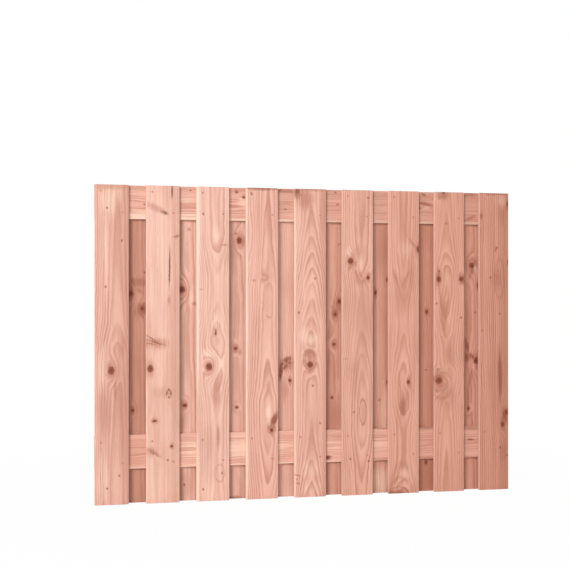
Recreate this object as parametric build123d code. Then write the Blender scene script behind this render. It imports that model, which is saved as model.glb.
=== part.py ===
"""Wooden fence panel: upright boards screwed to both faces of two rails.

The boards of the back face stand behind the gaps of the front face, so the panel is closed to the eye
and open to the wind. X runs along the panel, Y from the front face to the back face and Z upwards.
The origin is on the ground, at the middle of the panel.
"""

import os
from math import atan2, degrees, radians, tan

from build123d import *

# Driving dimensions, in millimetres
PANEL_WIDTH = 1800.0
FRONT_BOARD_COUNT = 9
BOARD_LENGTH = 1300.0
BOARD_WIDTH = 137.0  # a 140 mm board, dried
BOARD_THICKNESS = 17.0
RAIL_WIDTH = 138.0
RAIL_THICKNESS = 17.0
BOTTOM_RAIL_HEIGHT = 142.0  # underside of the bottom rail above the feet of the boards
EDGE_CHAMFER = 2.0  # eased long edges of the planed wood

SCREW_HEAD_DIAMETER = 7.0
SCREW_SHANK_DIAMETER = 3.2
SCREW_POINT_DIAMETER = 0.8
SCREW_HEAD_SINK = 0.5  # depth of the head's flat top below the face of the board
SCREW_POINT_COVER = 4.0  # wood left in the rail beyond the screw's point
SCREW_SIDE_INSET = 25.0  # from the long edge of a board to the screw's axis
SCREW_RAIL_INSET = 26.0  # from the long edge of a rail to the screw's axis
SCREW_FLATS = 8  # flats that stand for the round section of each small screw
COUNTERSINK_SLOPE = 45  # degrees between the screw's axis and the cone under its head

# Sizes and places that follow from them
BOARD_PITCH = (PANEL_WIDTH - BOARD_WIDTH) / (FRONT_BOARD_COUNT - 1)
BOARD_OFFSET = (RAIL_THICKNESS + BOARD_THICKNESS) / 2  # middle of the rails to the middle of a board
FACE_OFFSET = BOARD_OFFSET + BOARD_THICKNESS / 2  # middle of the rails to the face that shows
SCREW_LENGTH = BOARD_THICKNESS + RAIL_THICKNESS - SCREW_POINT_COVER  # from the face to the point
SCREW_REACH_X = BOARD_WIDTH / 2 - SCREW_SIDE_INSET
SCREW_REACH_Z = RAIL_WIDTH / 2 - SCREW_RAIL_INSET

FRONT_BOARD_X = [(BOARD_WIDTH - PANEL_WIDTH) / 2 + i * BOARD_PITCH for i in range(FRONT_BOARD_COUNT)]
BACK_BOARD_X = [x + BOARD_PITCH / 2 for x in FRONT_BOARD_X[:-1]]
RAIL_Z = {
    "top_rail": BOARD_LENGTH - RAIL_WIDTH / 2,
    "bottom_rail": BOTTOM_RAIL_HEIGHT + RAIL_WIDTH / 2,
}

FRONT, BACK = -1, 1  # the side of the rails, along Y
SIDE_NAMES = {FRONT: "front", BACK: "back"}


def planed_section(width, thickness):
    """The section of a planed piece of wood, with its four long edges eased."""
    return chamfer(Rectangle(width, thickness).vertices(), EDGE_CHAMFER)

def upright_board(x, side):
    """One upright board, standing on the ground against the front or the back of the rails."""
    section = planed_section(BOARD_WIDTH, BOARD_THICKNESS)
    return Pos(x, side * BOARD_OFFSET, 0) * extrude(section, BOARD_LENGTH)

def rail(z):
    """One rail, as long as the panel is wide, with its ends flush with the outer boards."""
    left_end = Plane(origin=(-PANEL_WIDTH / 2, 0, z), x_dir=(0, 0, 1), z_dir=(1, 0, 0))
    return extrude(left_end * planed_section(RAIL_WIDTH, RAIL_THICKNESS), PANEL_WIDTH)

def screw(head_top):
    """A countersunk screw with a tapered shank that points along -Z, the board's face at Z = 0.

    head_top is the depth at which the cone of the head is cut off level.
    """
    head_overhang = (SCREW_HEAD_DIAMETER - SCREW_SHANK_DIAMETER) / 2
    neck_depth = SCREW_HEAD_SINK + head_overhang / tan(radians(COUNTERSINK_SLOPE))
    neck = Pos(0, 0, -neck_depth) * RegularPolygon(SCREW_SHANK_DIAMETER / 2, SCREW_FLATS, major_radius=False)
    shank_length = SCREW_LENGTH - neck_depth
    shank_slope = degrees(atan2((SCREW_SHANK_DIAMETER - SCREW_POINT_DIAMETER) / 2, shank_length))
    head = extrude(neck, neck_depth - head_top, taper=-COUNTERSINK_SLOPE)
    shank = extrude(neck, -shank_length, taper=shank_slope)
    return head + shank

def screw_places(board_x, rail_z, side):
    """The two screws that hold a board to a rail, set on a slant so that they don't split either."""
    return [
        Plane(
            origin=(board_x + slant * SCREW_REACH_X, side * FACE_OFFSET, rail_z - slant * SCREW_REACH_Z),
            x_dir=(1, 0, 0),
            z_dir=(0, side, 0),
        )
        for slant in (-1, 1)
    ]


def build_panel():
    """Every piece of the panel by name. A screw's seat is its own cone, carried on to the face."""
    screw_solid = screw(SCREW_HEAD_SINK)
    seat = screw(-SCREW_HEAD_SINK)
    pieces = {}
    rail_seats = {name: [] for name in RAIL_Z}
    for side, board_places in ((FRONT, FRONT_BOARD_X), (BACK, BACK_BOARD_X)):
        screws = {name: [] for name in RAIL_Z}
        for number, x in enumerate(board_places, start=1):
            board_seats = []
            for rail_name, z in RAIL_Z.items():
                places = screw_places(x, z, side)
                screws[rail_name] += [place * screw_solid for place in places]
                board_seats += [place * seat for place in places]
                rail_seats[rail_name] += [place * seat for place in places]
            pieces[f"{SIDE_NAMES[side]}_board_{number}"] = upright_board(x, side) - board_seats
        for rail_name, group in screws.items():
            pieces[f"{rail_name}_{SIDE_NAMES[side]}_screws"] = Compound(group)
    for rail_name, z in RAIL_Z.items():
        pieces[rail_name] = rail(z) - rail_seats[rail_name]
    return pieces


os.makedirs("parts", exist_ok=True)
for piece_name, piece in build_panel().items():
    export_step(piece, f"parts/{piece_name}.step")
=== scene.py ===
import math
from dataclasses import dataclass

import bpy
import numpy as np
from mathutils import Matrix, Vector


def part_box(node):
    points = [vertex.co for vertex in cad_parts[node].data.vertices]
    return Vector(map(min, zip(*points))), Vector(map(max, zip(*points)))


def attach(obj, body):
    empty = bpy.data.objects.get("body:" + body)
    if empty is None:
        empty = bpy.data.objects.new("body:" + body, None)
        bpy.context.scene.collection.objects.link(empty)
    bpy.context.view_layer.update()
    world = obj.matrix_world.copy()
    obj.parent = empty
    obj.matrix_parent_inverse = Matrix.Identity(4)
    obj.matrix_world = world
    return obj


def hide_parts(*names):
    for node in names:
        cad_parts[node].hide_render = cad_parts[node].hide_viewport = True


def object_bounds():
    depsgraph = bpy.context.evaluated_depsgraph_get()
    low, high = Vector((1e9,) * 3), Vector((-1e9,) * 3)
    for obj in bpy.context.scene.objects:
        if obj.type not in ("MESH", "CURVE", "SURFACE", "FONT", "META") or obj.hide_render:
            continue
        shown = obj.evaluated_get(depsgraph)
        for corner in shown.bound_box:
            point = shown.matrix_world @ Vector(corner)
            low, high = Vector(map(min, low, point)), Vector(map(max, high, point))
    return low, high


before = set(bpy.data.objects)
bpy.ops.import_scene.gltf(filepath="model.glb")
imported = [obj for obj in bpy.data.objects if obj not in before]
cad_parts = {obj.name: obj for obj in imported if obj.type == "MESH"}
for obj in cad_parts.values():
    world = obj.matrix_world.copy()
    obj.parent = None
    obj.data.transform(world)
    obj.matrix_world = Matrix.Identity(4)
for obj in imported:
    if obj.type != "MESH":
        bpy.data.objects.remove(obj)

cad_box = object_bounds()

MM = 0.001
BODY = "root"

# Where the screws go through a board, how the wood is worked and how wide the painted highlight along its
# arrises is, in mm
SCREW_SIDE_INSET = 25
SCREW_RAIL_INSET = 26
SCREW_HEAD_RADIUS = 3.5
ARRIS_RADIUS = 2
END_EASE = 1.5
FACE_HOLLOW = 0.36
HOLLOW_WAVE = 170
HOLLOW_SPREAD = 60
EDGE_HIGHLIGHT_WIDTH = 3
PIN_RADIUS = 4

# How finely the pieces are divided, and the angles in degrees past which an edge stays sharp
ARRIS_STEPS = 5
FACE_STEPS = 14
EDGE_STEPS = 4
EASE_STEPS = 4
LENGTH_STEPS = 66
SCREW_STEPS = 24
WOOD_CREASE = 40
SCREW_CREASE = 35


def srgb(red, green, blue):
    """A colour given as 0 to 255 on a screen, as the linear colour that a shader takes."""
    share = np.array([red, green, blue]) / 255
    linear = np.where(share <= 0.04045, share / 12.92, ((share + 0.055) / 1.055) ** 2.4)
    return (*linear.tolist(), 1.0)


def shaded(colour, red, green, blue):
    """A colour with each of its channels multiplied."""
    return (colour[0] * red, colour[1] * green, colour[2] * blue, 1.0)


@dataclass
class Timber:
    """How one piece of timber grew and was cut.

    Places are (across, along) in mm from the piece's low corner, on the face towards the front.
    pith: across, and behind the face. ring: width of a growth ring. contrast: strength of the rings.
    climb: (along, rings), how many rings the face has cut through there.
    knots: (across, along, radius across, radius along). pins: (across, along) of the smallest knots.
    outlines: (across, along, radius across, radius along, strength) of brown rings.
    marks: (tone, across, along, radius across, radius along, strength, and a lean where there is one).
    swells: (across, along, radius across, radius along, rings) of bulges in the rings.
    sap: (start, end, strength) of a pale edge. dusk: (start, end, strength) of a deeper side.
    """

    seed: int
    face: tuple
    pith: tuple = (68, 57)
    ring: float = 7
    climb: tuple = ((0, 0), (1300, 1))
    contrast: float = 1
    knots: tuple = ()
    pins: tuple = ()
    outlines: tuple = ()
    marks: tuple = ()
    swells: tuple = ()
    sap: tuple = ()
    dusk: tuple = ()


def stroke(tone, start_across, start_along, end_across, end_along, width, strength):
    """A mark drawn from one place to another: a long thin ellipse that leans that way."""
    step_across, step_along = end_across - start_across, end_along - start_along
    lean = math.atan2(step_across, step_along)
    half = math.hypot(step_across, step_along) / 2
    return (tone, start_across + step_across / 2, start_along + step_along / 2, width, half, strength, lean)


# Each face colour is the board's own tone with painted shade in it: the faces grow darker from left to
# right, where the light falls off across the panel
FRONT_TIMBER = [
    Timber(
        seed=1,
        face=srgb(219, 168, 149),
        pith=(92, 56),
        climb=((0, 0), (400, 0.5), (600, 1), (760, 3), (1000, 3.5), (1300, 4)),
        knots=((67, 545, 12, 15),),
        pins=((50, 1205), (109, 1073), (44, 885), (99, 118), (50, 67)),
        marks=(
            ("pale", 47, 1080, 6, 210, 0.4),
            ("pale", 60, 1230, 40, 70, 0.5),
            ("deep", 68, 1294, 90, 16, 0.5),
            ("deep", 97, 1192, 20, 60, 0.5),
            ("brown", 81, 470, 8, 40, 0.35),
            ("deep", 110, 400, 40, 220, 0.5),
            ("pale", 30, 90, 30, 110, 0.4),
            ("pale", 30, 560, 20, 100, 0.4),
            ("deep", 112, 640, 20, 70, 0.6),
            ("deep", 40, 380, 40, 100, 0.5),
        ),
        dusk=(95, 137, 0.4),
    ),
    Timber(
        seed=2,
        face=srgb(232, 185, 167),
        pith=(-80, 20),
        ring=5,
        contrast=0.6,
        knots=((17, 551, 11, 14), (35, 337, 9, 5), (105, 232, 6, 5)),
        pins=((94, 433), (88, 175)),
        marks=(
            stroke("dark", 107, 1312, 107, 1243, 5, 0.8),
            stroke("deep", 6, 1224, 84, 1186, 14, 0.7),
            stroke("dark", 60, 1198, 91, 1182, 8, 0.9),
            stroke("brown", 106, 1089, 141, 1097, 6, 0.6),
            stroke("dark", 98, 1066, 94, 858, 4, 0.9),
            ("brown", 94, 832, 7, 24, 0.4),
            stroke("brown", 0, 688, 52, 656, 4, 0.7),
            stroke("brown", 0, 672, 74, 646, 4, 0.8),
            stroke("brown", 0, 656, 44, 648, 3, 0.7),
            ("deep", 40, 654, 50, 24, 0.9),
            stroke("dark", 83, 438, 87, 462, 5, 0.8),
            stroke("dark", 86, 464, 99, 463, 5, 0.9),
            stroke("dark", 98, 464, 103, 436, 5, 0.8),
            ("deep", 70, 452, 44, 24, 0.4),
            stroke("brown", 0, 228, 64, 186, 8, 0.5),
            ("deep", 20, 212, 26, 20, 0.6),
        ),
        dusk=(98, 105, 0.35),
    ),
    Timber(
        seed=3,
        face=srgb(232, 184, 167),
        pith=(86, 56),
        contrast=0.8,
        climb=(
            (0, 2.6),
            (250, 3),
            (400, 2.6),
            (460, 1.8),
            (600, 0.6),
            (700, 1.4),
            (770, 2.4),
            (870, 3.2),
            (980, 2.6),
            (1050, 1.6),
            (1150, 0.8),
            (1300, 0.6),
        ),
        knots=((52, 556, 12, 13),),
        pins=((107, 114), (27, 49), (28, 1187)),
        outlines=((97, 114, 20, 36, 0.25), (52, 566, 21, 26, 0.25)),
        marks=(
            stroke("dark", 80, 718, 80, 680, 5, 1),
            stroke("brown", 90, 322, 90, 212, 8, 0.5),
            ("brown", 118, 1060, 16, 6, 0.4),
            ("brown", 19, 875, 12, 4, 0.35),
            ("pale", 100, 575, 14, 50, 0.4),
            ("deep", 6, 330, 10, 200, 0.5),
            ("pale", 50, 40, 30, 60, 0.4),
            ("pale", 50, 606, 36, 26, 0.5),
            ("deep", 80, 445, 20, 60, 0.8),
            ("pale", 80, 740, 12, 40, 0.5),
            ("deep", 86, 1044, 20, 30, 0.3),
            ("pale", 84, 1100, 10, 50, 0.4),
        ),
        swells=((70, 570, 44, 60, 2),),
        sap=(6, 16, 0.8),
    ),
    Timber(
        seed=4,
        face=srgb(229, 177, 159),
        pith=(92, 56),
        climb=(
            (0, 2.5),
            (40, 2.2),
            (200, 1),
            (340, 0.2),
            (470, 1.2),
            (600, 2),
            (900, 2.6),
            (1060, 3.4),
            (1300, 4),
        ),
        knots=((110, 286, 8, 8),),
        outlines=((110, 288, 15, 17, 0.4),),
        marks=(
            stroke("dark", 22, 1285, 22, 1266, 4, 0.6),
            ("brown", 34, 913, 9, 6, 0.4),
            stroke("brown", 90, 770, 97, 754, 4, 0.4),
            stroke("brown", 97, 754, 106, 763, 4, 0.4),
            ("pale", 96, 362, 14, 30, 0.7),
            ("pale", 100, 318, 8, 20, 0.5),
            stroke("brown", 94, 292, 136, 362, 14, 0.9),
            stroke("dark", 116, 306, 134, 342, 5, 0.6),
            stroke("brown", 100, 278, 124, 312, 5, 0.5),
            ("deep", 96, 466, 12, 30, 0.7),
            ("deep", 86, 930, 26, 44, 0.5),
            ("deep", 100, 1010, 14, 70, 0.4),
            ("brown", 68, 1298, 90, 10, 0.7),
        ),
        swells=((34, 1080, 22, 160, 2), (84, 925, 18, 22, 1.2)),
        sap=(3, 10, 0.8),
    ),
    Timber(
        seed=5,
        face=srgb(227, 175, 156),
        pith=(73, 55),
        climb=(
            (0, 0),
            (60, 1),
            (140, 2),
            (240, 3),
            (330, 3.3),
            (500, 3.4),
            (620, 4.2),
            (786, 6.5),
            (921, 8.5),
            (1098, 11),
            (1200, 12),
            (1300, 12.3),
        ),
        knots=((68, 559, 11, 12),),
        pins=((90, 922), (18, 778), (79, 470), (111, 311)),
        outlines=((66, 580, 28, 42, 0.45), (66, 582, 20, 30, 0.45)),
        marks=(
            ("brown", 10, 1282, 26, 32, 0.7),
            ("dark", 12, 1288, 12, 12, 0.6),
            ("deep", 50, 1256, 36, 50, 0.9),
            ("brown", 68, 1299, 90, 9, 0.6),
            ("deep", 66, 602, 26, 22, 0.6),
            ("brown", 66, 602, 20, 13, 0.4),
            stroke("brown", 0, 97, 26, 90, 4, 0.6),
            stroke("brown", 4, 63, 26, 56, 4, 0.5),
            stroke("brown", 4, 80, 18, 74, 3, 0.4),
            ("pale", 70, 668, 30, 26, 0.5),
            ("pale", 40, 684, 26, 36, 0.4),
            ("pale", 72, 116, 40, 40, 0.4),
            ("pale", 76, 40, 40, 40, 0.35),
            ("deep", 122, 1200, 18, 130, 0.6),
        ),
        swells=((66, 600, 30, 34, 1.6),),
        sap=(2, 8, 0.7),
        dusk=(110, 134, 0.45),
    ),
    Timber(
        seed=6,
        face=srgb(223, 169, 148),
        pith=(88, 56),
        climb=(
            (0, 2.2),
            (80, 1.8),
            (200, 1),
            (350, 0.3),
            (500, 1),
            (650, 2.6),
            (800, 3.6),
            (870, 3.8),
            (930, 3),
            (1000, 2.2),
            (1300, 1.6),
        ),
        knots=((38, 997, 11, 12), (115, 927, 7, 9)),
        pins=((115, 1268), (53, 354), (37, 155), (118, 143)),
        outlines=((92, 354, 15, 52, 0.5),),
        marks=(
            stroke("brown", 2, 583, 28, 580, 3, 0.4),
            stroke("deep", 50, 970, 84, 904, 8, 0.8),
            stroke("brown", 58, 955, 84, 904, 5, 0.4),
            stroke("brown", 84, 904, 108, 924, 4, 0.4),
            ("pale", 80, 976, 14, 44, 0.4),
            ("deep", 84, 912, 30, 34, 0.7),
            ("deep", 90, 780, 50, 170, 0.45),
            ("deep", 94, 350, 14, 60, 0.45),
            ("deep", 72, 1034, 30, 40, 0.4),
            ("deep", 60, 545, 40, 40, 0.25),
            ("brown", 60, 986, 12, 16, 0.4),
            ("pale", 30, 1036, 14, 26, 0.4),
        ),
    ),
    Timber(
        seed=7,
        face=srgb(220, 162, 141),
        pith=(66, 56),
        contrast=0.8,
        climb=(
            (0, 0),
            (30, 0.8),
            (100, 2.2),
            (180, 2.8),
            (300, 2.4),
            (340, 1.8),
            (450, 1),
            (550, 1.8),
            (656, 2.8),
            (760, 3.2),
            (876, 2.2),
            (1000, 1),
            (1300, 0.5),
        ),
        knots=((136, 1051, 9, 13), (89, 478, 7, 9)),
        outlines=((46, 0, 42, 28, 0.4), (56, 0, 54, 68, 0.25), (64, 0, 60, 125, 0.2)),
        marks=(
            stroke("brown", 90, 1098, 132, 1050, 5, 0.4),
            stroke("deep", 84, 1110, 128, 1036, 6, 0.5),
            ("brown", 66, 374, 15, 52, 0.65),
            stroke("brown", 46, 520, 62, 345, 4, 0.35),
            stroke("deep", 88, 460, 68, 345, 6, 0.6),
            ("brown", 46, -2, 40, 18, 0.7),
            stroke("dark", 0, 2, 30, 10, 6, 0.5),
            ("pale", 74, 484, 8, 32, 0.35),
            ("pale", 74, 1050, 36, 40, 0.25),
            ("deep", 66, 850, 40, 90, 0.5),
            ("deep", 102, 920, 18, 80, 0.5),
            ("pale", 84, 76, 40, 60, 0.2),
            stroke("deep", 16, 970, 50, 872, 6, 0.8),
            stroke("deep", 98, 970, 54, 872, 6, 0.8),
        ),
    ),
    Timber(
        seed=8,
        face=srgb(216, 158, 136),
        pith=(55, 56),
        climb=(
            (0, 1.6),
            (280, 2.2),
            (360, 2.6),
            (430, 1.8),
            (484, 1.2),
            (600, 3.4),
            (690, 2.6),
            (800, 1.4),
            (900, 0.8),
            (950, 1.2),
            (1002, 2.2),
            (1067, 3.2),
            (1300, 4.5),
        ),
        knots=((21, 483, 14, 14), (20, 922, 9, 12), (124, 923, 9, 10)),
        pins=((55, 1164), (22, 957), (10, 816), (123, 755)),
        marks=(
            ("brown", 38, 1284, 30, 20, 0.5),
            ("dark", 42, 1299, 10, 8, 0.9),
            ("deep", 60, 410, 40, 60, 0.4),
            ("deep", 72, 590, 20, 70, 0.4),
            ("deep", 42, 770, 18, 90, 0.7),
            ("brown", 132, 921, 14, 18, 0.5),
            ("brown", 20, 950, 10, 24, 0.4),
            ("brown", 18, 531, 13, 8, 0.5),
            stroke("deep", 6, 440, 60, 470, 10, 0.6),
            stroke("deep", 20, 910, 42, 690, 6, 0.8),
            stroke("deep", 70, 890, 44, 690, 6, 0.8),
        ),
        outlines=((26, 470, 32, 34, 0.28), (34, 460, 46, 56, 0.26)),
        swells=((34, 462, 46, 56, 3),),
    ),
    Timber(
        seed=9,
        face=srgb(211, 151, 129),
        pith=(-60, 20),
        ring=9,
        contrast=1.3,
        knots=((135, 1252, 7, 12), (137, 997, 5, 9), (127, 338, 9, 13), (110, 285, 8, 12)),
        pins=((84, 1061), (52, 929), (97, 771), (98, 184), (130, 149)),
        marks=(
            ("brown", 98, 500, 12, 120, 0.75),
            stroke("brown", 80, 962, 80, 906, 7, 0.5),
            ("brown", 10, 1198, 8, 16, 0.7),
            stroke("brown", 72, 1040, 82, 1066, 8, 0.5),
            ("brown", 14, 698, 5, 6, 0.4),
            ("brown", 112, 165, 20, 60, 0.25),
            ("brown", 120, 315, 18, 44, 0.4),
            stroke("dark", 106, 345, 132, 296, 6, 0.4),
            ("brown", 82, 925, 26, 60, 0.35),
            ("deep", 108, 1216, 26, 50, 0.5),
            ("pale", 108, 1266, 16, 26, 0.25),
            ("brown", 68, 1299, 90, 8, 0.5),
        ),
        outlines=((95, 925, 25, 85, 0.2),),
        swells=((95, 925, 20, 70, 1.6),),
        dusk=(70, 120, 0.55),
    ),
]

# The back boards' face colours likewise hold painted shade that deepens towards the right, besides each
# board's own tone
BACK_TIMBER = [
    Timber(
        seed=11,
        face=srgb(193, 138, 117),
        knots=((46, 858, 9, 12), (92, 797, 8, 8), (53, 379, 6, 7)),
        pins=((101, 945),),
        marks=(
            ("brown", 74, 904, 50, 22, 0.5),
            stroke("brown", 60, 880, 100, 860, 10, 0.35),
            ("brown", 88, 790, 34, 34, 0.5),
        ),
    ),
    Timber(
        seed=12,
        face=srgb(230, 183, 165),
        knots=((48, 875, 13, 13), (60, 395, 9, 8)),
        pins=((58, 67),),
        marks=(
            stroke("brown", 70, 1116, 77, 1134, 4, 0.5),
            stroke("brown", 84, 1116, 77, 1134, 4, 0.5),
            ("brown", 100, 817, 14, 9, 0.5),
            ("pale", 86, 850, 10, 50, 0.45),
            ("deep", 70, 838, 10, 60, 0.5),
            ("deep", 54, 330, 18, 60, 0.6),
            ("deep", 60, 60, 40, 80, 0.6),
        ),
    ),
    Timber(
        seed=13,
        face=srgb(222, 174, 155),
        knots=((82, 1081, 10, 13), (67, 629, 7, 7), (71, 382, 6, 5)),
        pins=((67, 1110),),
        marks=(
            ("brown", 61, 3, 34, 9, 0.6),
            ("deep", 60, 1010, 16, 90, 0.5),
            ("brown", 92, 1078, 22, 28, 0.4),
            ("brown", 84, 612, 10, 14, 0.4),
        ),
    ),
    Timber(
        seed=14,
        face=srgb(229, 181, 162),
        pith=(-60, 20),
        knots=((92, 491, 6, 7),),
        pins=((57, 530), (60, 560), (78, 572), (90, 566), (68, 542), (52, 512)),
        marks=(
            stroke("brown", 48, 486, 58, 576, 11, 0.9),
            stroke("brown", 54, 574, 98, 584, 11, 0.9),
            stroke("brown", 92, 584, 100, 552, 7, 0.5),
            stroke("dark", 60, 536, 84, 562, 5, 0.6),
            stroke("dark", 52, 552, 64, 574, 5, 0.5),
            ("brown", 78, 560, 30, 34, 0.6),
            ("brown", 84, 582, 20, 14, 0.8),
            ("deep", 70, 450, 20, 50, 0.6),
        ),
    ),
    Timber(
        seed=15,
        face=srgb(211, 155, 134),
        knots=((101, 826, 8, 10), (83, 770, 7, 8), (78, 642, 7, 7), (69, 415, 6, 5)),
        marks=(
            stroke("brown", 94, 1064, 108, 1076, 5, 0.5),
            ("brown", 96, 806, 26, 40, 0.4),
            ("brown", 74, 800, 12, 14, 0.35),
            ("brown", 84, 776, 20, 34, 0.5),
            ("deep", 80, 340, 40, 70, 0.5),
            ("pale", 97, 466, 6, 40, 0.35),
        ),
    ),
    Timber(
        seed=16,
        face=srgb(209, 154, 132),
        pith=(-60, 20),
        contrast=0.8,
        knots=((109, 920, 5, 9), (56, 864, 5, 10), (109, 477, 6, 7)),
        pins=((73, 400),),
        marks=(
            ("pale", 96, 478, 12, 10, 0.3),
            ("deep", 90, 1060, 30, 120, 0.5),
            ("pale", 96, 330, 20, 150, 0.4),
            ("pale", 84, 50, 50, 70, 0.5),
        ),
    ),
    Timber(
        seed=17,
        face=srgb(204, 144, 121),
        pith=(-60, 20),
        contrast=0.8,
        knots=((81, 780, 7, 9), (78, 124, 7, 7)),
        pins=((78, 527),),
        marks=(("deep", 80, 60, 50, 100, 0.6),),
    ),
    Timber(
        seed=18,
        face=srgb(214, 155, 133),
        knots=((83, 983, 11, 12), (112, 895, 5, 12), (104, 565, 11, 14), (67, 355, 6, 7)),
        pins=((100, 777),),
        marks=(
            stroke("brown", 54, 670, 68, 590, 10, 0.8),
            stroke("brown", 64, 600, 100, 570, 10, 0.8),
            ("brown", 62, 580, 14, 24, 0.8),
            ("pale", 100, 966, 8, 20, 0.6),
            stroke("brown", 104, 1012, 68, 916, 9, 0.5),
            ("pale", 92, 540, 8, 24, 0.3),
            stroke("brown", 88, 540, 66, 440, 8, 0.45),
            ("brown", 66, 400, 7, 60, 0.5),
        ),
    ),
]

RAIL_TIMBER = {
    "top_rail": Timber(
        seed=21,
        face=srgb(222, 170, 151),
        pith=(60, 40),
        sap=(6, 14, 0.6),
        ring=5,
        climb=((0, 0), (1800, 3)),
        pins=((61, 203), (122, 393), (118, 588), (131, 774), (51, 796), (76, 1024), (127, 1015)),
        knots=((98, 618, 5, 5),),
        marks=(
            stroke("dark", 131, 1402, 118, 1424, 7, 0.8),
            stroke("brown", 94, 1378, 78, 1460, 9, 1),
            ("pale", 70, 1424, 7, 16, 0.7),
            ("dark", 68, 1391, 7, 8, 0.9),
            ("brown", 132, 1620, 16, 60, 0.7),
            ("dark", 135, 1634, 4, 9, 0.7),
            stroke("brown", 14, 1600, 40, 1656, 9, 0.7),
            ("brown", 122, 586, 8, 10, 0.7),
            ("brown", 100, 618, 14, 8, 0.4),
            ("pale", 78, 612, 20, 24, 0.5),
            ("brown", 77, 805, 3, 40, 0.4),
            ("pale", 16, 250, 18, 260, 0.6),
            ("pale", 81, 380, 10, 60, 0.5),
            # Painted shade: the whole rail darkens towards its right end, where the light falls off
            ("deep", 69, 1750, 200, 900, 0.5),
            ("brown", 132, 800, 14, 240, 0.5),
        ),
    ),
    "bottom_rail": Timber(
        seed=22,
        face=srgb(228, 174, 155),
        pith=(70, 40),
        sap=(4, 10, 0.5),
        ring=5,
        climb=((0, 0), (1800, 3)),
        knots=((20, 982, 7, 9),),
        marks=(
            stroke("dark", 79, 1608, 79, 1650, 4, 0.8),
            ("pale", 74, 560, 50, 300, 0.6),
            ("pale", 74, 400, 44, 50, 0.6),
            ("pale", 60, 1060, 40, 260, 0.35),
            ("deep", 60, 160, 70, 110, 0.35),
            ("brown", 137, 1400, 6, 460, 0.6),
            ("brown", 132, 1630, 14, 70, 0.6),
            ("brown", 134, 1420, 10, 60, 0.5),
            ("deep", 5, 1480, 10, 380, 0.9),
            ("deep", 69, 1500, 120, 160, 0.3),
        ),
    ),
}


class Wire:
    """One output of a node. Arithmetic on wires and numbers adds the Math nodes."""

    def __init__(self, nodes, socket):
        self.nodes = nodes
        self.socket = socket

    def __add__(self, other):
        return self.nodes.math("ADD", self, other)

    def __sub__(self, other):
        return self.nodes.math("SUBTRACT", self, other)

    def __rsub__(self, other):
        return self.nodes.math("SUBTRACT", other, self)

    def __mul__(self, other):
        return self.nodes.math("MULTIPLY", self, other)

    def __truediv__(self, other):
        return self.nodes.math("DIVIDE", self, other)

    def __rpow__(self, other):
        return self.nodes.math("POWER", other, self)

    __radd__ = __add__


class Nodes:
    """The node tree of a finish."""

    def __init__(self, tree):
        self.tree = tree
        tree.nodes.clear()

    def node(self, kind, settings=None, sockets=None, output=0):
        """Adds a node, makes its settings, then fills its sockets with wires or values."""
        made = self.tree.nodes.new("ShaderNode" + kind)
        for name, value in (settings or {}).items():
            if name == "stops":
                ramp = made.color_ramp.elements
                while len(ramp) < len(value):
                    ramp.new(1)
                for element, (position, colour) in zip(ramp, value):
                    element.position = position
                    element.color = colour if isinstance(colour, tuple) else (colour, colour, colour, 1)
            elif name == "points":
                points = made.mapping.curves[0].points
                while len(points) < len(value):
                    points.new(1, 1)
                for point, place in zip(points, value):
                    point.location = place
                made.mapping.update()
            else:
                setattr(made, name, value)
        for key, value in (sockets or {}).items():
            if isinstance(value, Wire):
                self.tree.links.new(value.socket, made.inputs[key])
            else:
                made.inputs[key].default_value = value
        return Wire(self, made.outputs[output])

    def math(self, operation, *values):
        return self.node("Math", {"operation": operation}, dict(enumerate(values)))

    def vector(self, operation, *values):
        output = 1 if operation in ("LENGTH", "DOT_PRODUCT") else 0
        return self.node("VectorMath", {"operation": operation}, dict(enumerate(values)), output)

    def split(self, wire):
        """The three parts of a vector."""
        made = self.node("SeparateXYZ", None, {0: wire})
        return [Wire(self, socket) for socket in made.socket.node.outputs]

    def join(self, *parts):
        return self.node("CombineXYZ", None, dict(enumerate(parts)))

    def mix(self, factor, first, second):
        return self.node("Mix", {"data_type": "RGBA"}, {0: factor, 6: first, 7: second}, 2)

    def soft(self, value, start, end):
        """0 at start and before it, 1 at end and after it, with a smooth slope between."""
        settings = {"interpolation_type": "SMOOTHSTEP"}
        return self.node("MapRange", settings, {"Value": value, "From Min": start, "From Max": end})

    def noise(self, place, stretch, seed, detail=2, output="Fac"):
        """Smooth noise, with stretch in waves per unit along each part of the place."""
        moved = self.vector("MULTIPLY_ADD", place, stretch, (seed * 3.7, seed * 1.3, seed * 2.1))
        return self.node("TexNoise", None, {"Vector": moved, "Scale": 1, "Detail": detail}, output)

    def ellipse(self, place, across, along, across_radius, along_radius, lean=0, depth=1000):
        """The place as seen from an ellipse: its length is 1 on the outline. The lean is towards across."""
        sockets = {
            "Vector": place,
            "Location": (across, along, 0),
            "Rotation": (0, 0, -lean),
            "Scale": (across_radius, along_radius, depth),
        }
        return self.node("Mapping", {"vector_type": "TEXTURE"}, sockets)

    def finish(self, **sockets):
        """Closes the tree with a plain surface shader that has these sockets."""
        names = {key.replace("_", " "): value for key, value in sockets.items()}
        shader = self.node("BsdfPrincipled", None, names)
        self.close(shader)

    def close(self, shader):
        output = self.tree.nodes.new("ShaderNodeOutputMaterial")
        self.tree.links.new(shader.socket, output.inputs["Surface"])


def new_finish(name):
    """A new material and its empty node tree."""
    material = bpy.data.materials.new(name)
    material.use_nodes = True
    return material, Nodes(material.node_tree)


@dataclass
class Unevenness:
    """A kind of smooth noise in the wood.

    across: waves per mm across the grain and through it. along: waves per mm along it.
    shift: added to the piece's seed. detail: layers of finer noise.
    """

    across: float
    along: float
    shift: int
    detail: int = 2


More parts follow.
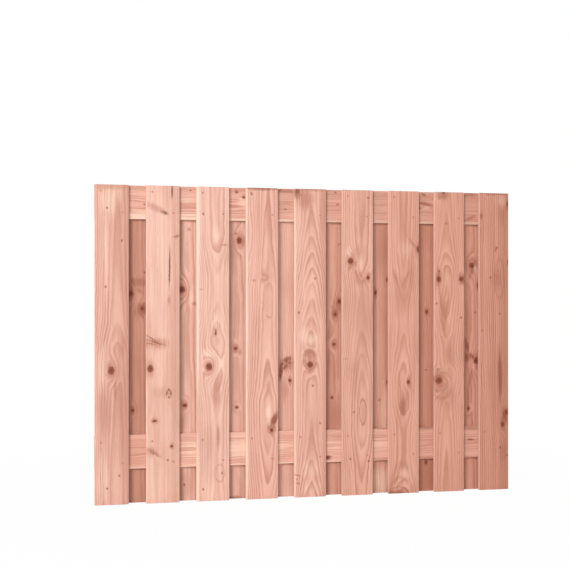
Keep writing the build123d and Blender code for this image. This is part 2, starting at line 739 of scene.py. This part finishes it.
RAGGED = Unevenness(0.11, 0.11, 0)
DRIFT = Unevenness(0.014, 0.0032, 40)
WOBBLE = Unevenness(0.04, 0.013, 43)
CLEAR = Unevenness(0.015, 0.004, 31)
FIBRE = Unevenness(0.3, 0.003, 7, 3)
STREAK = Unevenness(0.1, 0.0014, 13, 3)
PORE = Unevenness(2.2, 0.02, 19)
FLECK = Unevenness(0.9, 0.02, 29, 1)
BLOTCH = Unevenness(0.014, 0.004, 23)

# This one is along the row of ring numbers, so its waves are per ring
ERA = Unevenness(0.3, 0, 37, 1)

# How far the noise moves a place, in mm across, along and through. The wobble is across only
RAGGED_SIZE = (6, 6, 0)
DRIFT_SIZE = (14, 60, 6)
WOBBLE_SIZE = 9

# Shares of a piece's face colour in red, green and blue
DEEP_SHADE = (0.67, 0.53, 0.47)
PALE_SHADE = (1.08, 1.14, 1.16)
LIGHT_BAND = (1.11, 1.18, 1.2)
DARK_BAND = (0.86, 0.79, 0.76)
KNOT_STAIN = (0.66, 0.47, 0.41)

# Colours that all the pieces share
PALE_WOOD = srgb(250, 216, 193)
BROWN_WOOD = srgb(142, 76, 52)
DARK_WOOD = srgb(98, 42, 25)
# A pale colour painted on the arrises and side faces, as a painted highlight
EDGE_HIGHLIGHT = srgb(236, 201, 186)
KNOT_RINGS = [
    (0, srgb(92, 40, 26)),
    (0.14, srgb(112, 52, 34)),
    (0.22, srgb(140, 74, 50)),
    (0.28, srgb(110, 52, 34)),
    (0.36, srgb(150, 86, 62)),
    (0.46, srgb(116, 57, 39)),
    (0.55, srgb(150, 86, 63)),
    (0.75, srgb(172, 106, 83)),
]

# How much late and early wood there is at each share of a growth ring's width
LATE_WOOD = [(0, 0.5), (0.06, 0), (0.45, 0.1), (0.75, 0.7), (0.92, 1), (1, 0.5)]
EARLY_WOOD = [(0, 0.4), (0.1, 1), (0.45, 0.4), (0.7, 0), (0.94, 0), (1, 0.4)]

# Marks: how torn their outlines are, and how deep they go in mm
MARK_RAGGEDNESS = {"pale": 2.4, "deep": 2.6, "brown": 1.8, "dark": 1}
MARK_DEPTH = 9

# The stain and the bent grain reach farther than their knot: the distance from it is multiplied by these
STAIN_SHRINK = (0.42, 0.28, 0)
FLOW_SHRINK = (1 / 2.4, 1 / 4, 0)

# Rings that a knot adds for each mm of its radius, and a distance that is past every outline
KNOT_SWELL = 0.2
FAR = 9


def uneven(nodes, place, kind, seed, output="Fac"):
    """Noise of one kind at a place in mm."""
    waves = (kind.across, kind.along, kind.across)
    return nodes.noise(place, waves, seed + kind.shift, kind.detail, output)


def stirred(nodes, place, kind, seed, size):
    """The place moved by noise, by half of size either way."""
    moved = nodes.vector("MULTIPLY_ADD", uneven(nodes, place, kind, seed, "Color"), size, place)
    return nodes.vector("SUBTRACT", moved, tuple(part / 2 for part in size))


def bell(nodes, place):
    """A bell curve round the origin: 0.37 to the power of the squared distance."""
    return 0.37 ** nodes.vector("DOT_PRODUCT", place, place)


def nearest(nodes, place, spots, across_radius, along_radius):
    """The distance from the nearest of some spots, 1 on its outline."""
    distance = FAR
    for across, along in spots:
        spot = nodes.ellipse(place, across, along, across_radius, along_radius)
        distance = nodes.math("MINIMUM", distance, nodes.vector("LENGTH", spot))
    return distance


def local_place(nodes, piece, level):
    """The place in mm from the piece's low corner as (across, along, depth), with its width and length."""
    low, high = (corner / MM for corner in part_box(piece))
    size = high - low
    place = nodes.node("TexCoord", output="Object")
    x, depth, z = nodes.split(nodes.vector("MULTIPLY_ADD", place, (1 / MM, 1 / MM, 1 / MM), tuple(-low)))
    if level:
        return nodes.join(z, x, depth), size.z, size.x
    return nodes.join(x, z, depth), size.x, size.z


def knot_fields(nodes, timber, local, spot):
    """What the knots and swells do to the wood round them.

    reach: distance from the nearest knot, 1 on its outline. aura: the same for the wider stain round it.
    bend: how far the grain lines are moved across. swell: rings added. Both fall off as a bell curve.
    """
    reach = aura = FAR
    bend = swell = 0
    for across, along, across_radius, along_radius in timber.knots:
        knot = nodes.ellipse(spot, across, along, across_radius, along_radius)
        reach = nodes.math("MINIMUM", reach, nodes.vector("LENGTH", knot))
        stained = nodes.vector("MULTIPLY", knot, STAIN_SHRINK)
        aura = nodes.math("MINIMUM", aura, nodes.vector("LENGTH", stained))
        flow = nodes.vector("MULTIPLY", knot, FLOW_SHRINK)
        pull = bell(nodes, flow)
        bend = bend + nodes.split(flow)[0] * pull * (2 * across_radius)
        swell = swell + pull * (across_radius * KNOT_SWELL)
    for across, along, across_radius, along_radius, rings in timber.swells:
        hill = nodes.ellipse(local, across, along, across_radius, along_radius)
        swell = swell + bell(nodes, hill) * rings
    return reach, aura, bend, swell


def growth(nodes, timber, local, grain, bend, swell, length):
    """The place as the grain flows, the ring number there, and its shares of late and early wood."""
    grain_across, grain_along, grain_depth = nodes.split(grain)
    wobble = uneven(nodes, local, WOBBLE, timber.seed) - 0.5
    offset = grain_across + wobble * WOBBLE_SIZE - bend - timber.pith[0]
    behind = grain_depth + timber.pith[1]
    distance = nodes.math("SQRT", offset * offset + behind * behind)
    top = max(rings for _, rings in timber.climb)
    points = [(height / timber.climb[-1][0], rings / top) for height, rings in timber.climb]
    climb = nodes.node("FloatCurve", {"points": points}, {"Value": grain_along / length}) * top
    rings = distance / timber.ring + climb + swell
    number = nodes.math("FLOOR", rings)
    phase = rings - number
    vigour = nodes.node("TexWhiteNoise", {"noise_dimensions": "1D"}, {"W": number + timber.seed * 31})
    clear = nodes.soft(uneven(nodes, local, CLEAR, timber.seed), 0.3, 0.6) * 0.6 + 0.4
    late = nodes.node("ValToRGB", {"stops": LATE_WOOD}, {0: phase}) * (vigour * 0.75 + 0.25) * clear
    early = nodes.node("ValToRGB", {"stops": EARLY_WOOD}, {0: phase}) * (1 - vigour * 0.6) * clear
    return nodes.join(offset, grain_along, behind), rings, late, early


def grown_colour(nodes, timber, local, flowed, rings, late, early, fibre, pore):
    """The colour of clear wood: bands, then blotches, fibres, early wood, late wood and pores."""
    face, seed = timber.face, timber.seed
    deep, pale = shaded(face, *DEEP_SHADE), shaded(face, *PALE_SHADE)
    streak = uneven(nodes, flowed, STREAK, seed)
    era = uneven(nodes, nodes.join(rings, 0, 0), ERA, seed)
    blotch = uneven(nodes, local, BLOTCH, seed)
    bands = nodes.soft(streak, 0.3, 0.7) * 0.5 + nodes.soft(era, 0.3, 0.7) * 0.5
    colour = nodes.mix(bands, shaded(face, *LIGHT_BAND), shaded(face, *DARK_BAND))
    colour = nodes.mix(nodes.soft(blotch, 0.45, 0.75) * 0.45, colour, deep)
    colour = nodes.mix(nodes.soft(fibre, 0.5, 0.32) * 0.3, colour, pale)
    colour = nodes.mix(nodes.soft(fibre, 0.5, 0.68) * 0.25, colour, deep)
    colour = nodes.mix(early * timber.contrast, colour, pale)
    colour = nodes.mix(late * timber.contrast, colour, deep)
    return nodes.mix(nodes.soft(pore, 0.55, 0.8) * 0.25, colour, deep)


def edged(nodes, colour, timber, across, grain_across, feather, width):
    """The colour with the deeper side, the pale sap edge and a painted highlight on the arrises and side
    faces.
    """
    if timber.dusk:
        start, end, strength = timber.dusk
        deep = shaded(timber.face, *DEEP_SHADE)
        colour = nodes.mix(nodes.soft(grain_across, start, end) * strength, colour, deep)
    if timber.sap:
        start, end, strength = timber.sap
        colour = nodes.mix(nodes.soft(across + feather * 16, end, start) * strength, colour, PALE_WOOD)
    # Painted highlight: the arrises and side faces, at or near the piece's two long edges, are mixed
    # towards a pale colour
    rim = nodes.math("MINIMUM", across, width - across)
    return nodes.mix(nodes.soft(rim, EDGE_HIGHLIGHT_WIDTH, 0) * 0.6, colour, EDGE_HIGHLIGHT)


def marked(nodes, colour, timber, spot, feather, late):
    """The colour with the piece's marks on it, and the cover of the dark ones, which are open splits."""
    deep = shaded(timber.face, *DEEP_SHADE)
    tones = {"pale": PALE_WOOD, "deep": deep, "brown": BROWN_WOOD, "dark": DARK_WOOD}
    covers = {}
    for tone, across, along, across_radius, along_radius, strength, *lean in timber.marks:
        mark = nodes.ellipse(spot, across, along, across_radius, along_radius, *lean, depth=MARK_DEPTH)
        ragged_edge = nodes.vector("LENGTH", mark) + feather * MARK_RAGGEDNESS[tone]
        cover = nodes.soft(ragged_edge, 1.3, 0.3) * strength
        covers[tone] = nodes.math("MAXIMUM", covers.get(tone, 0), cover)
    if "pale" in covers:
        covers["pale"] = covers["pale"] * (1 - late * 0.8)
    for tone, cover in covers.items():
        colour = nodes.mix(cover, colour, tones[tone])
    return colour, covers.get("dark", 0)


def outlined(nodes, colour, timber, spot, feather):
    """The colour with the thin dark rings on it."""
    for across, along, across_radius, along_radius, strength in timber.outlines:
        ring = nodes.ellipse(spot, across, along, across_radius, along_radius)
        ring = nodes.vector("LENGTH", ring) + feather * 0.6
        line = nodes.soft(ring, 0.78, 0.97) * nodes.soft(ring, 1.2, 1)
        colour = nodes.mix(line * strength, colour, BROWN_WOOD)
    return colour


def wood(piece, timber, level, dents):
    """Planed softwood.

    Growth rings are cylinders round the pith, a line behind the face at pith = (across, behind):
    ring number = distance from the pith / ring width + climb along the piece + swells round the knots.
    Each ring darkens towards its late wood. The grain parts round each knot: the place across is moved
    towards the knot by a bell curve, so that the lines stand apart there. Noise makes the rings waver.
    """
    material, nodes = new_finish(piece + "_wood")
    seed = timber.seed
    local, width, length = local_place(nodes, piece, level)
    spot = stirred(nodes, local, RAGGED, seed, RAGGED_SIZE)
    grain = stirred(nodes, local, DRIFT, seed, DRIFT_SIZE)
    reach, aura, bend, swell = knot_fields(nodes, timber, local, spot)
    flowed, rings, late, early = growth(nodes, timber, local, grain, bend, swell, length)
    fibre = uneven(nodes, flowed, FIBRE, seed)
    pore = uneven(nodes, flowed, PORE, seed)
    fleck = nodes.soft(uneven(nodes, flowed, FLECK, seed), 0.66, 0.76)
    feather = fibre - 0.5

    colour = grown_colour(nodes, timber, local, flowed, rings, late, early, fibre, pore)
    across, grain_across = nodes.split(local)[0], nodes.split(grain)[0]
    colour = edged(nodes, colour, timber, across, grain_across, feather, width)
    if timber.knots:
        stain = nodes.soft(aura + feather * 0.9, 1.05, 0.3) * 0.7
        colour = nodes.mix(stain, colour, shaded(timber.face, *KNOT_STAIN))
    colour, open_split = marked(nodes, colour, timber, spot, feather, late)
    colour = nodes.mix(fleck * 0.3, colour, BROWN_WOOD)
    colour = outlined(nodes, colour, timber, spot, feather)
    inside = 0
    if timber.knots:
        knot_colour = nodes.node("ValToRGB", {"stops": KNOT_RINGS}, {0: reach * 0.5})
        inside = nodes.soft(reach + feather * 0.4, 1.45, 0.8)
        colour = nodes.mix(inside * 0.95, colour, knot_colour)
    if timber.pins:
        speck = nearest(nodes, spot, timber.pins, PIN_RADIUS, PIN_RADIUS * 1.2)
        colour = nodes.mix(nodes.soft(speck, 1.6, 0.4) * 0.8, colour, BROWN_WOOD)

    height = fibre * 0.5 + pore * 0.3 - late * 0.3 - inside * 0.4 - fleck * 0.3 - open_split * 1.5
    if dents:
        pressed = nearest(nodes, local, dents, SCREW_HEAD_RADIUS, SCREW_HEAD_RADIUS)
        # Round each screw head the wood is darkened and pressed in. This is crushed fibres, and also
        # painted shade for the dip the head sits in, which the mesh does not have
        crush_and_dip_shade = nodes.soft(pressed, 1.6, 0.9)
        colour = nodes.mix(crush_and_dip_shade * 0.4, colour, BROWN_WOOD)
        height = height - crush_and_dip_shade
    normal = nodes.node("Bump", None, {"Strength": 0.5, "Distance": 0.0006, "Height": height})
    roughness = fibre * 0.2 + 0.55 - inside * 0.1
    nodes.finish(Base_Color=colour, Roughness=roughness, Normal=normal, Specular_IOR_Level=0.3)
    return material


def steel(name):
    """Screw steel, unevenly worn, in a warm tone."""
    material, nodes = new_finish(name)
    place = nodes.node("TexCoord", output="Object")
    worn = nodes.noise(place, (900, 900, 900), 3, 3)
    colour = nodes.mix(nodes.soft(worn, 0.35, 0.7), srgb(206, 150, 124), srgb(170, 116, 94))
    nodes.finish(Base_Color=colour, Roughness=worn * 0.3 + 0.35, Metallic=0.9)
    return material


def tube_faces(rings, around, flipped):
    """The faces of a tube through rings of points, with a polygon at each end."""
    grid = np.arange(rings * around).reshape(rings, around)
    beside = np.roll(grid, -1, 1)
    quads = np.stack([grid[:-1], beside[:-1], beside[1:], grid[1:]], -1).reshape(-1, 4)
    faces = quads.tolist() + [grid[0, ::-1].tolist(), grid[-1].tolist()]
    return [face[::-1] for face in faces] if flipped else faces


def new_piece(name, points, faces, crease):
    """A new object at the origin, smooth but for edges that turn by more than the crease."""
    mesh = bpy.data.meshes.new(name)
    mesh.from_pydata(points.reshape(-1, 3).tolist(), [], faces)
    mesh.shade_smooth()
    mesh.set_sharp_from_angle(angle=math.radians(crease))
    made = bpy.data.objects.new(name, mesh)
    bpy.context.scene.collection.objects.link(made)
    return made


def planed_outline(width, thickness):
    """The section of a planed piece, anticlockwise: points on its skeleton, and the normals there.

    The skeleton is the rectangle through the middles of the four arrises. It gives each middle once for
    every step round its arris, and then the points between it and the next.
    """
    radius = ARRIS_RADIUS
    quarter = np.linspace(0, math.pi / 2, ARRIS_STEPS)
    angles = (np.arange(4)[:, None] - 1) * math.pi / 2 + quarter
    corners = np.array(
        [
            (width - radius, radius),
            (width - radius, thickness - radius),
            (radius, thickness - radius),
            (radius, radius),
        ]
    )
    face_share = np.linspace(0, 1, FACE_STEPS)[1:-1, None]
    edge_share = np.linspace(0, 1, EDGE_STEPS)[1:-1, None]
    skeleton, normal = [], []
    for k, share in enumerate((edge_share, face_share, edge_share, face_share)):
        here, there = corners[k], corners[(k + 1) % 4]
        turned = np.stack([np.cos(angles[k]), np.sin(angles[k])], 1)
        skeleton += [np.repeat(here[None], ARRIS_STEPS, 0), here + share * (there - here)]
        normal += [turned, np.repeat(turned[-1:], len(share), 0)]
    return np.concatenate(skeleton), np.concatenate(normal)


def planed_piece(piece, level):
    """A planed board or rail: a rectangle with rounded arrises carried along its length.

    A point of the outline is skeleton + (arris radius - inset) * normal. The inset eases the two ends
    by a quarter circle, and the two wide faces are hollowed by long shallow waves, always inwards.
    u is across the width, v through the thickness and s along the length.
    """
    low, high = (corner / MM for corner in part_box(piece))
    length_axis, width_axis = ("x", "z") if level else ("z", "x")
    length = getattr(high - low, length_axis)
    width = getattr(high - low, width_axis)
    thickness = high.y - low.y
    skeleton, normal = planed_outline(width, thickness)

    ease = np.linspace(0, math.pi / 2, EASE_STEPS)
    middle = np.linspace(END_EASE, length - END_EASE, LENGTH_STEPS)[1:-1]
    start = END_EASE * (1 - np.cos(ease))
    inset_start = END_EASE * (1 - np.sin(ease))
    stations = np.concatenate([start, middle, (length - start)[::-1]])
    inset = np.concatenate([inset_start, 0 * middle, inset_start[::-1]])
    outline = skeleton + (ARRIS_RADIUS - inset)[:, None, None] * normal
    u, v = outline[..., 0], outline[..., 1]
    s = np.repeat(stations[:, None], u.shape[1], 1)

    phase = sum(ord(letter) for letter in piece)
    cup = 0.5 + 0.5 * np.cos(math.pi * (u / width - 0.5)) * np.cos(phase)
    wave = 0.5 + 0.5 * np.sin(s / HOLLOW_WAVE + phase) * np.cos(u / HOLLOW_SPREAD + phase * 2)
    share = v / thickness
    v = v + FACE_HOLLOW * (cup * (1 - share) - wave * share)

    axes = {length_axis: s, width_axis: u, "y": v}
    points = np.stack([axes["x"] + low.x, axes["y"] + low.y, axes["z"] + low.z], -1) * MM
    return new_piece(piece + "_planed", points, tube_faces(*points.shape[:2], level), WOOD_CREASE)


def dress_timber(piece, timber, level, dents):
    """Puts a worked and finished piece of wood in the place of its plain solid."""
    made = planed_piece(piece, level)
    made.data.materials.append(wood(piece, timber, level, dents))
    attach(made, BODY)
    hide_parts(piece)


# A screw from the middle of its drive to its point: radius, height over the wood in mm, and lobe
SCREW_PROFILE = [
    (0.35, -1.3, 0),
    (1.25, -1.2, 0.14),
    (1.45, 0.05, 0.14),
    (1.7, 0.2, 0),
    (3.2, 0.2, 0),
    (3.5, 0.0, 0),
    (1.65, -1.9, 0),
    (1.5, -22, 0),
    (0.4, -29.5, 0),
]


def screw_group(name, places, outward, face_y):
    """Countersunk screws: a profile (radius, height over the face) turned round each screw's axis.

    The drive is a six-lobed recess, radius * (1 + lobe * cos(6 * angle)).
    """
    radius, height, lobe = (column[:, None] for column in np.array(SCREW_PROFILE).T)
    angle = np.linspace(0, 2 * math.pi, SCREW_STEPS, endpoint=False)
    turned = radius * (1 + lobe * np.cos(6 * angle))
    ring_y = np.repeat(height, SCREW_STEPS, 1) * outward
    one = np.stack([turned * np.cos(angle), ring_y, turned * np.sin(angle)], -1).reshape(1, -1, 3) * MM
    centres = np.array([(x, face_y, z) for x, z in places])
    points = centres[:, None, :] + one
    faces = tube_faces(len(SCREW_PROFILE), SCREW_STEPS, outward > 0)
    step = one.shape[1]
    every = [[index + k * step for index in face] for k in range(len(places)) for face in faces]
    return new_piece(name, points, every, SCREW_CREASE)


def screw_spots(board, rail):
    """Places (x, z) in metres of the two screws that hold a board to a rail, upper left and lower right."""
    board_low, board_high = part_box(board)
    rail_low, rail_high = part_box(rail)
    side, edge = SCREW_SIDE_INSET * MM, SCREW_RAIL_INSET * MM
    return [
        (board_low.x + side, rail_high.z - edge),
        (board_high.x - side, rail_low.z + edge),
    ]


RAILS = list(RAIL_TIMBER)
SIDES = {"front": FRONT_TIMBER, "back": BACK_TIMBER}
screw_steel = steel("screw_steel")

for side, timbers in SIDES.items():
    places = {rail: [] for rail in RAILS}
    for number, timber in enumerate(timbers, start=1):
        board = f"{side}_board_{number}"
        low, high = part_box(board)
        dents = []
        for rail in RAILS:
            spots = screw_spots(board, rail)
            places[rail] += spots
            dents += [((x - low.x) / MM, (z - low.z) / MM) for x, z in spots]
        dress_timber(board, timber, False, dents)
    outward = -1 if side == "front" else 1
    face_y = low.y if side == "front" else high.y
    for rail in RAILS:
        node = f"{rail}_{side}_screws"
        screws = screw_group(node + "_turned", places[rail], outward, face_y)
        screws.data.materials.append(screw_steel)
        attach(screws, BODY)
        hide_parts(node)
for rail, timber in RAIL_TIMBER.items():
    dress_timber(rail, timber, True, [])


# Stage, light and camera, in metres
CAMERA_PLACE = (-1.222, -4.733, 0.831)
CAMERA_HEADING = math.radians(13.293)
CAMERA_LENS = 72.77
CAMERA_SHIFT = 0.0265
KEY_PLACE = (-5.3, -7.4, 4.4)
KEY_SIZE = (3.2, 3.4)
KEY_POWER = 628
AMBIENT = 0.48
WHITE = (1, 1, 1, 1)
FLOOR_RADIUS = 9
FLOOR_SIDES = 64
FLOOR_TONE = (0.95, 0.95, 0.95, 1)
FLOOR_SHADOW = 0.03
SHADOW_REACH = (1, 2.5)


def white_to_the_eye(nodes, shader, share):
    """Mixes pure white into what the camera, a mirror or a glass sees of a surface."""
    path = nodes.node("LightPath").socket.node.outputs
    seen = Wire(nodes, path["Is Camera Ray"])
    for kind in ("Is Glossy Ray", "Is Transmission Ray"):
        seen = nodes.math("MAXIMUM", seen, Wire(nodes, path[kind]))
    white = nodes.node("Emission", None, {"Color": WHITE, "Strength": 1})
    return nodes.node("MixShader", None, {0: seen * share, 1: shader, 2: white})


def make_floor():
    """A pale round floor that fades to pure white away from the panel: a circle's points as one polygon."""
    angle = np.linspace(0, 2 * math.pi, FLOOR_SIDES, endpoint=False)
    rim = FLOOR_RADIUS * np.stack([np.cos(angle), np.sin(angle), 0 * angle], 1)
    floor = new_piece("floor", rim, [list(range(FLOOR_SIDES))], WOOD_CREASE)
    material, nodes = new_finish("floor_pale")
    place = nodes.node("TexCoord", output="Object")
    far = nodes.soft(nodes.vector("LENGTH", place), *SHADOW_REACH)
    matt = nodes.node("BsdfDiffuse", None, {"Color": FLOOR_TONE})
    nodes.close(white_to_the_eye(nodes, matt, far * FLOOR_SHADOW + (1 - FLOOR_SHADOW)))
    floor.data.materials.append(material)


def make_world():
    """Even soft light from all round, pure white to the camera."""
    world = bpy.data.worlds.new("studio")
    bpy.context.scene.world = world
    world.use_nodes = True
    nodes = Nodes(world.node_tree)
    soft = nodes.node("Background", None, {"Color": WHITE, "Strength": AMBIENT})
    shader = white_to_the_eye(nodes, soft, 1)
    output = world.node_tree.nodes.new("ShaderNodeOutputWorld")
    world.node_tree.links.new(shader.socket, output.inputs["Surface"])


def make_key():
    """A large soft lamp to the upper left of the panel's front."""
    lamp = bpy.data.lights.new("key", "AREA")
    lamp.shape = "RECTANGLE"
    lamp.size, lamp.size_y = KEY_SIZE
    lamp.energy = KEY_POWER
    key = bpy.data.objects.new("key", lamp)
    key.location = KEY_PLACE
    low, high = cad_box
    key.rotation_euler = ((low + high) / 2 - key.location).to_track_quat("-Z", "Y").to_euler()
    bpy.context.scene.collection.objects.link(key)


def make_camera():
    """A level camera left of the middle, with the small shift that keeps the boards upright."""
    data = bpy.data.cameras.new("camera")
    data.lens = CAMERA_LENS
    data.shift_y = CAMERA_SHIFT
    camera = bpy.data.objects.new("camera", data)
    camera.location = CAMERA_PLACE
    camera.rotation_euler = (math.pi / 2, 0, -CAMERA_HEADING)
    bpy.context.scene.collection.objects.link(camera)
    bpy.context.scene.camera = camera


make_floor()
make_world()
make_key()
make_camera()
bpy.context.scene.view_settings.view_transform = "Standard"
